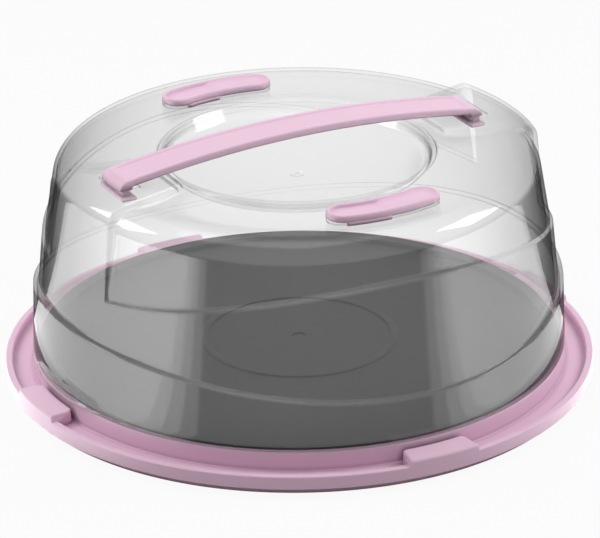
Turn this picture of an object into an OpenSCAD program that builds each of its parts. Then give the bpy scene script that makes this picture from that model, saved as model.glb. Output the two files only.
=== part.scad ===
// Round cake carrier: a tray with a raised rim, a lift-out cake plate, a clear
// stepped dome that lifts off, a carry strap caught in two slots of the dome,
// and two foot pads clipped on top.
// Origin at the centre of the foot ring, +Z up. The strap runs along X and the
// foot pads lie on the Y axis.

/* [Tray] */
// Width of the channel between the rim and the dome's ridge
channel_w = 13.2; // [10:0.2:20]
// Height of the rim above the table
rim_h = 13; // [11:0.5:15]
// Width of the rim's flat top
rim_w = 4; // [3:0.5:5]
// How far the foot ring lies in from the rim's outer face
foot_inset = 6; // [5:0.5:10]
// Height of the step between the foot ring and the rim
step_h = 5; // [4:0.5:6]
// Height of the channel between the rim and the dome
channel_h = 8.6; // [7.6:0.2:10]
// Height of the ridge that carries the dome
ridge_h = 20; // [18:0.5:24]
// Width of the ridge's flat top
ridge_w = 8; // [7:0.5:12]
// Height of the tray's inner floor
floor_h = 5; // [4:0.5:8]
// Wall of the tray
tray_wall = 2.4; // [2:0.1:3]

/* [Rim tabs] */
// Width of a tab along the rim
tab_w = 44; // [30:1:60]
// Height of a tab above the table
tab_h = 16.6; // [15.6:0.1:17.6]
// Gap between a tab and the ridge
tab_gap = 2.2; // [1:0.1:4]

/* [Cake plate] */
// Thickness of the plate
plate_t = 2; // [1.5:0.1:3]
// Height of the plate's flange above the ridge
flange_t = 1.2; // [1:0.1:2]
// Side clearance between the plate and the dome
plate_gap = 1.2; // [1:0.1:3]
// Diameter of the ring that centres a cake
ring_d = 113; // [80:1:160]
// Width of that ring
ring_w = 5; // [3:0.5:8]
// Height of that ring
ring_h = 0.7; // [0.4:0.1:1.5]
// Diameter of the dimple in the plate's middle
dimple_d = 9; // [5:0.5:14]

/* [Dome] */
// Outer diameter of the dome's lower edge
dome_d = 316.4; // [300:0.4:320]
// Height of the ring on top, above the table
dome_h = 140.4; // [132:0.2:160]
// Height of the two strap seats above that ring
seat_rise = 3.4; // [2.6:0.1:4.6]
// Wall of the dome
dome_wall = 2; // [1.6:0.1:2.4]
// How much the radius shrinks for each millimetre up
dome_taper = 0.1; // [0.08:0.01:0.12]
// Height from which the panels lean in more
lean_h = 97; // [92:1:104]
// How much the panels' radius shrinks for each millimetre above that height
panel_lean = 0.168; // [0.12:0.004:0.2]
// Radius of the rounded edge over a panel
panel_round = 14; // [11:0.5:18]
// Radius of the rounded edge over a band
band_round = 11.5; // [9:0.5:14]
// Depth of the shallow trough in the top ring, in which the pads lie
trough_depth = 2.6; // [1:0.2:3.2]
// Half the width of that trough
trough_half = 22; // [18:0.5:22]
// How far the bands stand proud of the panels at the dome's foot
band_step = 1.8; // [1.4:0.1:2.6]
// Height of the panels' lower edge at the strap ends
panel_low = 88.5; // [75:0.5:95]
// Height of the panels' lower edge at the middle of each panel
panel_high = 113; // [100:0.5:115]
// How far the collar's foot stands proud of the bands
collar_step = 0.4; // [0.3:0.1:1.2]
// Height of the collar at the strap ends
collar_high = 65; // [55:0.5:70]
// Height of the collar at the middle of each panel
collar_low = 45.5; // [40:0.5:52]
// How much the collar's radius shrinks up to its top
collar_draft = 1.5; // [0.5:0.1:2.5]
// Running gap between the dome's edge and the ridge
seat_gap = 0.2; // [0.1:0.05:0.4]
// How far the two grip lips stand out from the dome's edge
lip_out = 2.6; // [1.5:0.1:4]
// Half the angle that a grip lip spans
lip_angle = 13; // [8:1:20]
// Thickness of a grip lip
lip_t = 2; // [1.5:0.1:3]

/* [Dome top] */
// Diameter of the round recess under the strap
recess_d = 160; // [140:1:164]
// Depth of the recess at its wall
recess_depth = 8; // [6:0.5:12]
// How much deeper the recess is at its middle
recess_dish = 8; // [4:0.5:9]
// How far the recess wall leans in
recess_lean = 6; // [2:0.5:8]
// Distance from the axis to the inner end of each strap seat
seat_start = 86; // [84:0.5:92]
// Half width of a strap seat at its inner end
seat_half = 22.5; // [20:0.5:26]
// How much that half width grows for each millimetre outwards
seat_flare = 0.29; // [0.2:0.01:0.4]
// Diameter of the shallow thumb dip round each end of the strap
dip_d = 40; // [34:1:42]
// Depth of a thumb dip
dip_depth = 1.3; // [0.6:0.1:1.6]
// Diameter of the dimple in the middle of the recess
gate_d = 8; // [5:0.5:12]
// Depth of that dimple
gate_depth = 1; // [0.5:0.1:1.4]

/* [Carry strap] */
// How far the strap's ends stay inside the dome's lower edge
strap_inset = 38.7; // [38:0.1:40]
// Width of the strap
strap_w = 25; // [20:0.5:28]
// Thickness of the strap
strap_t = 4.6; // [4:0.1:5.2]
// Height of the strap's ends above their seats
strap_rise = 2.5; // [2.2:0.1:4]
// Radius of the strap's arch
strap_arch = 700; // [660:10:760]
// How far the strap lies to one side in its slots
strap_shift = 1; // [0:0.1:1.2]
// Length of the thicker end of the strap
cap_l = 8; // [7:0.5:9]
// Radius of the strap's rounded end
cap_round = 4; // [3:0.5:5]
// Width of the border along each edge of the strap
border_w = 3.6; // [2:0.1:5]
// Depth of the panel between the borders
border_h = 0.6; // [0.3:0.1:1]
// How far the strap can be lifted before its feet meet the dome
strap_lift = 2; // [1.5:0.5:4]
// Width of the foot that holds the strap in its slot
strap_foot_w = 31; // [29.5:0.5:36]
// Thickness of that foot
foot_t = 2; // [1.6:0.1:3]
// Length of each slot
slot_l = 15; // [14:0.5:16]
// Clearance between the strap and the sides of its slot
slot_gap = 0.6; // [0.4:0.1:1]

/* [Foot pads] */
// Distance from the axis to the middle of a pad
pad_r = 106; // [105:0.5:108]
// Width of a pad
pad_w = 20; // [16:0.5:24]
// Half the angle between the centres of a pad's round ends
pad_angle = 14; // [12:0.5:16]
// Height of a pad's cap
pad_h = 4.2; // [4:0.1:5]
// Height of the clear boss under a pad
boss_h = 2.2; // [2:0.1:3]
// Height of the core that a pad clips over
core_h = 1.2; // [0.8:0.1:1.4]
// Width of the rim round a pad's hollow
pad_rim = 2.6; // [2:0.1:4]
// Depth of the deep half of the hollow
pad_deep = 2; // [1.5:0.1:2.2]
// Depth of the shallow half of the hollow
pad_shallow = 1; // [0.6:0.1:1.4]
// Thickness of the two tongues that grip the boss
tongue_t = 1.6; // [1.2:0.1:2]
// Clearance between a pad and the core that it clips over
pad_gap = 0.2; // [0.1:0.05:0.4]

/* [Hidden] */
$fn = 120;

pink = [0.93, 0.79, 0.87];
grey = [0.4, 0.4, 0.4];
clear = [0.86, 0.88, 0.88, 0.5];
far = 400;                                   // longer than anything here
soft = 0.8;                                  // broken edge of a moulded corner

dome_r = dome_d / 2;
ridge_r = dome_r - 0.4;                      // outer edge of the ridge's top
rim_in = ridge_r + channel_w;                // inner edge of the rim
tray_r = rim_in + rim_w;                     // outer face of the rim
foot_r = tray_r - foot_inset;                // outer edge of the foot ring
ridge_in = ridge_r - ridge_w;                // inner edge of the ridge's top
tab_in = ridge_r + tab_gap;                  // inner face of a tab
tab_angle = 2 * asin(tab_w / 2 / tray_r);    // angle that a tab spans

dome_foot = ridge_h + seat_gap;              // height of the dome's lower edge
seat_h = dome_h + seat_rise;                 // height of the strap seats
band_r = dome_r - collar_step;               // radius of the bands at that edge
panel_r = band_r - band_step;                // radius of the panels at that edge
plate_r = dome_r - dome_wall - plate_gap;    // outer radius of the plate
plate_top = ridge_h - 0.4;                   // height of the plate's floor

collar_arch = arch_radius(dome_r, collar_high - collar_low);
panel_arch = arch_radius(panel_r - dome_taper * (panel_high - dome_foot), panel_high - panel_low);

strap_end = dome_r - strap_inset;            // the strap's end, from its middle
end_h = seat_h + strap_rise;                 // top of its ends
strap_z = end_h - sqrt(strap_arch * strap_arch - strap_end * strap_end); // centre of its arch
cap_low = end_h - strap_t - 0.6;             // underside of an end
neck_out = strap_end - 1.5;                  // outer face of the end in its slot
slot_out = strap_end + strap_shift + 2;      // outer end of a slot
slot_in = slot_out - slot_l;
foot_top = seat_h - dip_depth - dome_wall - strap_lift - 0.3;
dip_ball = arch_radius(dip_d / 2, dip_depth); // radius of the ball that forms a dip
dip_x = (slot_in + slot_out) / 2;            // middle of a slot and of its dip

trough_flat = pad_w / 2 + 1;                 // half the width of the trough's flat bottom
boss_top = ring_height(pad_r) + boss_h;      // where a pad's cap starts
tongue_low = ring_height(pad_r - pad_w / 2) + 0.3;

// Height of the top ring at radius r: its trough has a flat bottom and sloping sides
function ring_height(r) = dome_h - trough_depth
    * max(0, min(1, (trough_half - abs(r - pad_r)) / (trough_half - trough_flat)));
// Radius of a cylinder that drops by rise at half_w from its crest
function arch_radius(half_w, rise) = (half_w * half_w + rise * rise) / (2 * rise);

module base_tray() {
    under = channel_h - tray_wall;
    color(pink) {
        rotate_extrude()
            polygon([
                [0, floor_h], [ridge_in - 1.5, floor_h],
                [ridge_in - 0.3, ridge_h - soft], [ridge_in + soft, ridge_h],
                [ridge_r - soft, ridge_h], [ridge_r, ridge_h - soft],
                [ridge_r + 0.4, channel_h], [rim_in - 1, channel_h - 0.4],
                [rim_in, rim_h - soft], [rim_in + soft, rim_h],
                [tray_r - soft, rim_h], [tray_r, rim_h - soft],
                [tray_r, step_h], [tray_r - 1.6, step_h - soft],
                [foot_r, 0], [foot_r - tray_wall, 0], [foot_r - tray_wall, under - 0.4],
                [ridge_r + 0.4 - tray_wall, under], [ridge_r - tray_wall, ridge_h - tray_wall],
                [ridge_in + tray_wall, ridge_h - tray_wall],
                [ridge_in + tray_wall - 1.5, floor_h - tray_wall], [0, floor_h - tray_wall]]);
        for (turn = [0 : 90 : 270])
            rotate(turn - tab_angle / 2) rim_tab();
    }
}

module rim_tab() {
    rotate_extrude(angle = tab_angle)
        polygon([
            [tab_in, channel_h - 1], [tab_in, tab_h - soft], [tab_in + soft, tab_h],
            [tray_r - 1.5, tab_h], [tray_r, tab_h - 1.5],
            [tray_r, rim_h - 2], [rim_in + 1, rim_h - 2], [rim_in + 1, channel_h - 1]]);
}

module cake_plate() {
    flange_low = dome_foot;
    flange_top = flange_low + flange_t;
    well_r = ridge_in - 1;                   // side of the plate inside the ridge
    color(grey)
        rotate_extrude()
            difference() {
                polygon([
                    [0, plate_top], [ring_d / 2 - ring_w / 2, plate_top],
                    [ring_d / 2 - ring_w / 4, plate_top + ring_h],
                    [ring_d / 2 + ring_w / 4, plate_top + ring_h],
                    [ring_d / 2 + ring_w / 2, plate_top],
                    [well_r - 2 * plate_t, plate_top], [well_r - plate_t, flange_top],
                    [plate_r - 0.4, flange_top], [plate_r, flange_top - 0.4], [plate_r, flange_low],
                    [well_r, flange_low], [well_r - plate_t, plate_top - plate_t],
                    [0, plate_top - plate_t]]);
                translate([0, plate_top - 0.6]) square([dimple_d / 2, far]);
            }
}

// A cylinder that lies along X and passes through height z at the middle
module lying_cylinder(r, z) {
    translate([0, 0, z]) rotate([0, 90, 0]) cylinder(r = r, h = far, center = true);
}

// A round body with a straight wall, grown by s. Above lean_h its radius shrinks by lean
// for each millimetre, up to an edge of radius round under a top at height h.
module round_body(foot, lean, round, h, s, below, top) {
    turn = atan(lean);
    bend = foot - dome_taper * (lean_h - dome_foot);
    edge_z = h - round;
    edge_x = bend - lean * (edge_z + round * sin(turn) - lean_h) - round * cos(turn);
    rotate_extrude()
        polygon(concat(
            [[0, dome_foot - below], [foot + s + dome_taper * below, dome_foot - below],
             [bend + s, lean_h]],
            [for (i = [0 : 10])
                [edge_x + (round + s) * cos(turn + i * (90 - turn) / 10),
                 edge_z + (round + s) * sin(turn + i * (90 - turn) / 10)]],
            [for (p = top) [p[0], p[1] + s]]));
}

// The body under the front and back panels, with the trough in its top ring
module panel_body(s, below) {
    ring = [for (reach = [trough_half, trough_flat, -trough_flat, -trough_half]) pad_r + reach];
    round_body(panel_r, panel_lean, panel_round, dome_h, s, below,
        concat([for (r = ring) [r, ring_height(r)]], [[0, dome_h]]));
}

// The body under the bands and the strap seats
module band_body(s, below) {
    round_body(band_r, dome_taper, band_round, seat_h, s, below, [[0, seat_h]]);
}

// Ground plan of the two strap seats, drawn in by g
module seat_plan(g) {
    outer_half = seat_half + seat_flare * (dome_r - seat_start);
    for (side = [-1, 1])
        scale([side, 1])
            polygon([
                [seat_start + g, seat_half - g], [dome_r + 5, outer_half - g],
                [dome_r + 5, g - outer_half], [seat_start + g, g - seat_half]]);
}

// What the bands lack: the front and back panels, and the top between the seats
module panel_cut(g) {
    difference() {
        lying_cylinder(panel_arch + g, panel_low + panel_arch);
        linear_extrude(far) seat_plan(g);
    }
}

// The collar's round body under its arched top edge, drawn in by g
module collar_solid(g, below) {
    top = collar_high + 1;
    intersection() {
        rotate_extrude()
            polygon([
                [0, dome_foot - below], [dome_r - g, dome_foot - below], [dome_r - g, dome_foot],
                [dome_r - collar_draft - g, top], [0, top]]);
        lying_cylinder(collar_arch - g, collar_high - collar_arch);
    }
}

// The round recess under the strap, grown by g
module recess(g) {
    crown = ring_height(recess_d / 2);
    foot = recess_d / 2 - recess_lean + g;
    low = crown - recess_depth - g;
    rotate_extrude()
        polygon(concat(
            [for (r = [0 : 12 : 60]) [r, low - recess_dish * (1 - pow(r / foot, 2))]],
            [[foot - 2, low], [foot, low + 2],
             [recess_d / 2 + g, crown - soft], [recess_d / 2 + g + soft, crown + 0.2],
             [recess_d / 2 + g + soft, far], [0, far]]));
}

// The thumb dips round the strap's ends, grown by g
module thumb_dips(g) {
    for (side = [-1, 1])
        translate([side * dip_x, 0, seat_h - dip_depth + dip_ball]) sphere(dip_ball + g);
}

// The dome as a solid, drawn in by g everywhere
module dome_solid(g, below) {
    difference() {
        union() {
            panel_body(-g, below);
            difference() {
                band_body(-g, below);
                panel_cut(g);
            }
            collar_solid(g, below);
        }
        recess(g);
        thumb_dips(g);
    }
}

// A bent bar of round-ended plan over the pad's arc, on the -Y side
module pad_bar(half_w, h) {
    rotate(-90 - pad_angle)
        rotate_extrude(angle = 2 * pad_angle)
            translate([pad_r - half_w, 0]) square([2 * half_w, h]);
    for (side = [-1, 1])
        rotate(-90 + side * pad_angle) translate([pad_r, 0]) cylinder(r = half_w, h = h);
}

// The two tongues of a pad, on the half that has the deep hollow
module pad_tongues(grow, z, h) {
    rotate(-90 - pad_angle)
        rotate_extrude(angle = pad_angle * 0.95)
            for (x = [pad_r - pad_w / 2, pad_r + pad_w / 2 - tongue_t])
                translate([x - grow, z]) square([tongue_t + 2 * grow, h]);
}

module boss() {
    base = ring_height(pad_r) - dome_wall / 2;
    difference() {
        translate([0, 0, base]) pad_bar(pad_w / 2, boss_top - base);
        pad_tongues(pad_gap, tongue_low - pad_gap, far);
    }
    translate([0, 0, base])
        pad_bar(pad_w / 2 - pad_rim - pad_gap, boss_top + core_h - base);
}

module grip_lips() {
    for (turn = [0, 180])
        rotate(turn - lip_angle)
            rotate_extrude(angle = 2 * lip_angle)
                translate([dome_r - dome_wall / 2, dome_foot])
                    polygon([
                        [0, 0.2], [dome_wall / 2 + lip_out - 0.5, 0.2],
                        [dome_wall / 2 + lip_out, 0.7],
                        [dome_wall / 2 + lip_out, lip_t - 0.5], [dome_wall / 2, lip_t + 1], [0, lip_t + 1]]);
}

module dome() {
    slot_w = strap_w + 2 * slot_gap;
    color(clear)
        union() {
            difference() {
                dome_solid(0, 0);
                dome_solid(dome_wall, 5);
                for (side = [-1, 1])
                    translate([side * dip_x, 0, seat_h])
                        cube([slot_l, slot_w, 6 * dome_wall], center = true);
                translate([0, 0, ring_height(recess_d / 2) - recess_depth - recess_dish - gate_depth])
                    cylinder(d = gate_d, h = far);
            }
            boss();
            mirror([0, 1, 0]) boss();
            grip_lips();
        }
}

// Side view of one end of the strap, with its top corner rounded
module cap_side() {
    translate([strap_end - cap_l, cap_low]) square([cap_l - cap_round, end_h - cap_low]);
    translate([strap_end - cap_l, cap_low]) square([cap_l, end_h - cap_round - cap_low]);
    translate([strap_end - cap_round, end_h - cap_round]) circle(cap_round);
}

module carry_strap() {
    inner = strap_end - cap_l;
    color(pink)
        translate([-strap_shift, 0, 0]) {
            difference() {
                rotate([90, 0, 0])
                    linear_extrude(strap_w, center = true)
                        intersection() {
                            translate([0, strap_z])
                                difference() {
                                    circle(strap_arch, $fn = 360);
                                    circle(strap_arch - strap_t, $fn = 360);
                                }
                            translate([1 - strap_end + cap_round, 0])
                                square([2 * (strap_end - cap_round - 1), far]);
                        }
                rotate([90, 0, 0])
                    linear_extrude(strap_w - 2 * border_w, center = true)
                        intersection() {
                            translate([0, strap_z])
                                difference() {
                                    circle(strap_arch + 2, $fn = 360);
                                    circle(strap_arch - border_h, $fn = 360);
                                }
                            translate([1 - inner, 0]) square([2 * inner - 2, far]);
                        }
            }
            for (side = [0, 180])
                rotate(side) {
                    rotate([90, 0, 0]) linear_extrude(strap_w, center = true) cap_side();
                    translate([neck_out - strap_t, -strap_w / 2, foot_top - 1])
                        cube([strap_t, strap_w, cap_low - foot_top + 2]);
                    translate([neck_out - strap_t - 3, -strap_foot_w / 2, foot_top - foot_t])
                        cube([strap_t + 4, strap_foot_w, foot_t]);
                }
        }
}

module pad() {
    color(pink)
        union() {
            difference() {
                translate([0, 0, boss_top]) pad_bar(pad_w / 2, pad_h);
                translate([0, 0, boss_top - 1]) pad_bar(pad_w / 2 - pad_rim, core_h + pad_gap + 1);
                translate([0, 0, boss_top + pad_h - pad_shallow])
                    pad_bar(pad_w / 2 - pad_rim, pad_h);
                intersection() {
                    translate([0, 0, boss_top + pad_h - pad_deep])
                        pad_bar(pad_w / 2 - pad_rim, pad_h);
                    translate([-far, -far, 0]) cube([far, 2 * far, far]);
                }
            }
            pad_tongues(0, tongue_low, boss_top - tongue_low + 0.5);
        }
}

module front_pad() {
    pad();
}

module back_pad() {
    mirror([0, 1, 0]) pad();
}

base_tray();
cake_plate();
dome();
carry_strap();
front_pad();
back_pad();
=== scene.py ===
# %% [markdown]
# # A round cake carrier
#
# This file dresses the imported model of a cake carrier: a pink tray with a stepped rim and
# four tabs, a grey cake plate, a clear stepped dome with a round recess on top, a pink
# carry strap caught in two slots of the dome, and two pink pads clipped on its top.
# Every piece is moulded plastic, so every piece here is one closed surface that is worked
# out as arrays of points. Lengths are in millimetres until a mesh is made.

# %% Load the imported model
import math

import bmesh
import bpy
import numpy as np
from mathutils import Matrix, Vector


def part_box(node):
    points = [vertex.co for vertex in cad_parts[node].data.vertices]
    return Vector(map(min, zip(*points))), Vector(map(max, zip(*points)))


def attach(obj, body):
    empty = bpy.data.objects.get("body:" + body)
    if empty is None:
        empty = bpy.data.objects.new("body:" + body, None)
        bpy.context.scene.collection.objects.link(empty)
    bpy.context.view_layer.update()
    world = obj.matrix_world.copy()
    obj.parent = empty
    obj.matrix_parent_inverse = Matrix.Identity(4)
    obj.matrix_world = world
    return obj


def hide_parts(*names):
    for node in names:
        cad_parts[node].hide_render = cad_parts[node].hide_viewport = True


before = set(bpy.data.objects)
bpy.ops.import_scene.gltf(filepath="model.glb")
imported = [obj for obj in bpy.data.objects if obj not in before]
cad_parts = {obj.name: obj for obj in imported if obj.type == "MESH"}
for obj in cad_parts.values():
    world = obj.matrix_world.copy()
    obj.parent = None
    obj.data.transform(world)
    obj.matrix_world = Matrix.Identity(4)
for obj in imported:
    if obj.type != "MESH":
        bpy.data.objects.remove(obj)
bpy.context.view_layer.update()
MM = 0.001

# %% [markdown]
# ## Sizes
#
# The tray's radius, the ridge's height, the dome's foot and its top come from the frame.
# The other sizes are the mouldings' own, such as walls, steps and roundings.

# %% Sizes
TRAY_LOW, TRAY_HIGH = (np.array(corner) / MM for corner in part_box("base_tray"))
DOME_LOW, DOME_HIGH = (np.array(corner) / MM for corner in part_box("dome"))
STRAP_LOW, STRAP_HIGH = (np.array(corner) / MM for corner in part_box("carry_strap"))
PAD_LOW, PAD_HIGH = (np.array(corner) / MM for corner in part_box("front_pad"))
PLATE_LOW, PLATE_HIGH = (np.array(corner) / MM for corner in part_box("cake_plate"))

TRAY_R = TRAY_HIGH[0]
RIDGE_H = TRAY_HIGH[2]
RIM_H, RIM_W, STEP_H, CHANNEL_H, FLOOR_H = 13.0, 4.0, 5.0, 8.6, 5.0
FOOT_INSET, CHANNEL_W, RIDGE_W, TRAY_WALL = 6.0, 13.2, 8.0, 2.4
RIM_IN = TRAY_R - RIM_W
RIDGE_R = RIM_IN - CHANNEL_W
RIDGE_IN = RIDGE_R - RIDGE_W
TAB_H, TAB_IN, TAB_HALF = 16.6, RIDGE_R + 2.2, 22.0

DOME_R = RIDGE_R + 0.4
DOME_FOOT = DOME_LOW[2]
DOME_WALL = 2.0
DOME_H, SEAT_H = 140.4, DOME_HIGH[2]
TAPER, LEAN_H, PANEL_LEAN = 0.1, 97.0, 0.168
PANEL_ROUND, BAND_ROUND = 14.0, 11.5
TROUGH_DEPTH, TROUGH_HALF = 2.6, 22.0
BAND_STEP = 1.8
COLLAR_STEP, COLLAR_DRAFT = 0.4, 1.5
BAND_R = DOME_R - COLLAR_STEP
PANEL_R = BAND_R - BAND_STEP
PANEL_LOW, PANEL_HIGH = 88.5, 113.0
COLLAR_HIGH, COLLAR_LOW = 65.0, 45.5
LIP_OUT, LIP_HALF = 2.6, math.radians(13)
RECESS_R, RECESS_DEPTH, RECESS_DISH, RECESS_LEAN = 80.0, 8.0, 8.0, 6.0
SEAT_START, SEAT_HALF, SEAT_FLARE = 86.0, 22.5, 0.29
DIP_R, DIP_DEPTH = 20.0, 1.3
SLOT_LEN, SLOT_GAP, SLOT_X = 15.0, 0.6, 115.0
GATE_R, GATE_DEPTH = 4.0, 1.0

STRAP_HALF = (STRAP_HIGH[0] - STRAP_LOW[0]) / 2
STRAP_X = (STRAP_HIGH[0] + STRAP_LOW[0]) / 2
STRAP_W, STRAP_T, STRAP_ARCH = 25.0, 4.6, 700.0
CAP_LEN, CAP_ROUND, BORDER_W, BORDER_H = 8.0, 4.0, 3.6, 0.6
PAD_R, PAD_W, PAD_ANGLE, PAD_H = 106.0, 20.0, math.radians(14), 4.2
PAD_RIM, PAD_DEEP, PAD_SHALLOW, TONGUE_T, CORE_H = 2.6, 2.0, 1.0, 1.6, 1.2
print("Tray", TRAY_LOW, TRAY_HIGH)
print("Dome's foot", DOME_FOOT, "seats", SEAT_H, "strap's top", STRAP_HIGH[2])

# %% [markdown]
# ## Surfaces as grids
#
# A moulded shell of revolution is a grid: one direction runs round the axis, the other
# along the section. Blender's Spin tool makes such shells too, but only with the same
# section all round, and these have tabs, seats and panels. So `grid_mesh` takes the whole
# grid as one array and writes the mesh in one go. Its columns run round and close, its rows
# are open, and rows of coincident points, as at a pole, are merged afterwards.

# %% Helpers for meshes
MERGE_M = 1e-7


def grid_mesh(name, points):
    """A mesh from points[row, column, xyz] in millimetres. Each cell of the grid is a quad
    between neighbouring rows and columns, and the last column joins the first."""
    rows, columns = points.shape[:2]
    r, c = np.meshgrid(np.arange(rows - 1), np.arange(columns), indexing="ij")
    c_next = (c + 1) % columns
    quads = np.stack([r * columns + c, r * columns + c_next,
                      (r + 1) * columns + c_next, (r + 1) * columns + c], -1).reshape(-1, 4)
    mesh = bpy.data.meshes.new(name)
    mesh.vertices.add(rows * columns)
    mesh.vertices.foreach_set("co", (points.reshape(-1, 3) * MM).astype(np.float32).ravel())
    mesh.loops.add(quads.size)
    mesh.loops.foreach_set("vertex_index", quads.ravel().astype(np.int32))
    mesh.polygons.add(len(quads))
    mesh.polygons.foreach_set("loop_start", (np.arange(len(quads)) * 4).astype(np.int32))
    mesh.update(calc_edges=True)
    piece = bpy.data.objects.new(name, mesh)
    bpy.context.scene.collection.objects.link(piece)
    tidy(piece)
    return piece


def tidy(piece):
    """Merges doubled points, drops faces without area and turns every face outwards."""
    b = bmesh.new()
    b.from_mesh(piece.data)
    bmesh.ops.remove_doubles(b, verts=b.verts, dist=MERGE_M)
    bmesh.ops.dissolve_degenerate(b, edges=b.edges, dist=MERGE_M)
    bmesh.ops.recalc_face_normals(b, faces=b.faces)
    for face in b.faces:
        face.smooth = True
    b.to_mesh(piece.data)
    b.free()
    piece.data.update()


def rounded(corners, steps=6, tuck=0.05):
    """A section through corners, each (r, z) or (r, z, radius), with its corners rounded.
    A round of radius q meets both its sides at q / tan(half the angle between them) from
    the corner. Its centre lies between them, at q / sin(that half angle). A point just
    outside each end of the arc keeps the flats flat under smooth shading."""
    out = []
    n = len(corners)
    for i, corner in enumerate(corners):
        here = np.array(corner[:2], float)
        radius = corner[2] if len(corner) > 2 else 0.0
        if radius == 0 or i in (0, n - 1):
            out.append(here)
            continue
        before = np.array(corners[i - 1][:2], float) - here
        after = np.array(corners[i + 1][:2], float) - here
        len_a, len_b = np.linalg.norm(before), np.linalg.norm(after)
        a, b = before / len_a, after / len_b
        half = math.acos(np.clip(a @ b, -1, 1)) / 2
        reach = radius / math.tan(half)
        centre = here + (a + b) / np.linalg.norm(a + b) * radius / math.sin(half)
        start, end = here + a * reach, here + b * reach
        if len_a > reach + 2 * tuck:
            out.append(start + a * tuck)
        t = np.linspace(0, 1, steps + 1)[:, None]
        chord = start * (1 - t) + end * t - centre
        out.extend(centre + chord / np.linalg.norm(chord, axis=1)[:, None] * radius)
        if len_b > reach + 2 * tuck:
            out.append(end + b * tuck)
    return np.array(out)


def smooth(x, width):
    """0 below -width/2, 1 above width/2, and an S curve between."""
    t = np.clip(x / width + 0.5, 0, 1)
    return t * t * (3 - 2 * t)


def revolve(name, section, columns):
    """A surface of revolution: each point (r, z) of the section goes round the axis as
    (r cos a, r sin a, z). The section starts and ends on the axis, which closes it."""
    angle = np.linspace(0, 2 * np.pi, columns, endpoint=False)
    r, z = section[:, :1], section[:, 1:]
    return grid_mesh(name, np.stack([r * np.cos(angle), r * np.sin(angle), z + 0 * angle], -1))


def finish_piece(piece, body, material, slot, *nodes):
    """Gives a piece its material and its body, and hides the CAD parts that it stands for. The
    argument slot is not used.
    """
    piece.data.materials.clear()
    piece.data.materials.append(material)
    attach(piece, body)
    if nodes:
        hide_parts(*nodes)
    print(piece.name, len(piece.data.polygons), "faces")
    return piece


# %% [markdown]
# ## Camera
#
# A photograph's ellipses give its view: the tray's rim and the dome's top are circles, and
# how flat and how large they look gives the height and the distance of the lens. The camera
# looks down by 23.7 degrees from 2.4 m away, with a long lens, 28 degrees off the pads' line.

# %% Camera
CAMERA_AT = Vector((-1.0305, -1.9403, 1.0289))
LOOK = Vector((0.42976, 0.80827, -0.40250))
ROLL = math.radians(-0.6855)
LENS_MM = 243.1
SENSOR_MM = 36.0


def add_camera():
    """A camera at CAMERA_AT that looks along LOOK and is rolled by ROLL."""
    data = bpy.data.cameras.new("photo_view")
    data.lens = LENS_MM
    data.sensor_width = SENSOR_MM
    data.clip_end = 50
    camera = bpy.data.objects.new("photo_view", data)
    turn = LOOK.to_track_quat("-Z", "Y").to_matrix().to_4x4()
    camera.matrix_world = Matrix.Translation(CAMERA_AT) @ turn @ Matrix.Rotation(ROLL, 4, "Z")
    bpy.context.scene.collection.objects.link(camera)
    bpy.context.scene.camera = camera
    print("Camera looks down by", round(math.degrees(-math.asin(LOOK.z)), 1), "degrees")


add_camera()
bpy.context.scene.view_settings.view_transform = "Standard"

# %% [markdown]
# ## Floor and room
#
# The photograph is a cut-out on white. The floor is a pale sheet that glows white to the
# camera and still takes a soft shadow, so the background stays white without more light on
# the object. The world does the same: white to the eye, and a plain soft light otherwise.

# %% Nodes, floor and world
FLOOR_HALF = 6.0
FLOOR_GLOW = 0.93
FLOOR_MATT = 0.60
ROOM_LIGHT = 0.37


def new_material(name):
    """An empty node material and its node tree."""
    material = bpy.data.materials.new(name)
    material.use_nodes = True
    material.node_tree.nodes.clear()
    return material, material.node_tree


def add_node(tree, kind, values=None, **settings):
    """A node of that kind, with settings on the node and values on its sockets."""
    node = tree.nodes.new(kind)
    for key, value in settings.items():
        setattr(node, key, value)
    for key, value in (values or {}).items():
        node.inputs[key].default_value = value
    return node


def link_all(tree, *pairs):
    """Links each pair of sockets, (from, to)."""
    for source, target in pairs:
        tree.links.new(source, target)


def seen_by_eye(tree):
    """1 for rays from the camera, from a mirror or through glass; 0 for rays of light."""
    path = add_node(tree, "ShaderNodeLightPath")
    first = add_node(tree, "ShaderNodeMath", operation="MAXIMUM")
    both = add_node(tree, "ShaderNodeMath", operation="MAXIMUM")
    link_all(tree, (path.outputs["Is Camera Ray"], first.inputs[0]),
             (path.outputs["Is Glossy Ray"], first.inputs[1]), (first.outputs[0], both.inputs[0]),
             (path.outputs["Is Transmission Ray"], both.inputs[1]))
    return both.outputs[0]


def add_floor():
    """A wide pale sheet at table height: mostly a white glow to the eye, the rest matt white."""
    half = FLOOR_HALF
    mesh = bpy.data.meshes.new("floor")
    corners = [(-half, -half, 0), (half, -half, 0), (half, half, 0), (-half, half, 0)]
    mesh.from_pydata(corners, [], [(0, 1, 2, 3)])
    floor = bpy.data.objects.new("floor", mesh)
    bpy.context.scene.collection.objects.link(floor)
    material, tree = new_material("floor_white")
    matt = add_node(tree, "ShaderNodeBsdfDiffuse", {"Color": (*[FLOOR_MATT] * 3, 1)})
    glow = add_node(tree, "ShaderNodeEmission", {"Strength": 1.0})
    share = add_node(tree, "ShaderNodeMath", operation="MULTIPLY")
    share.inputs[1].default_value = FLOOR_GLOW
    mix = add_node(tree, "ShaderNodeMixShader")
    out = add_node(tree, "ShaderNodeOutputMaterial")
    link_all(tree, (seen_by_eye(tree), share.inputs[0]), (share.outputs[0], mix.inputs[0]),
             (matt.outputs[0], mix.inputs[1]), (glow.outputs[0], mix.inputs[2]),
             (mix.outputs[0], out.inputs["Surface"]))
    mesh.materials.append(material)
    return floor


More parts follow.
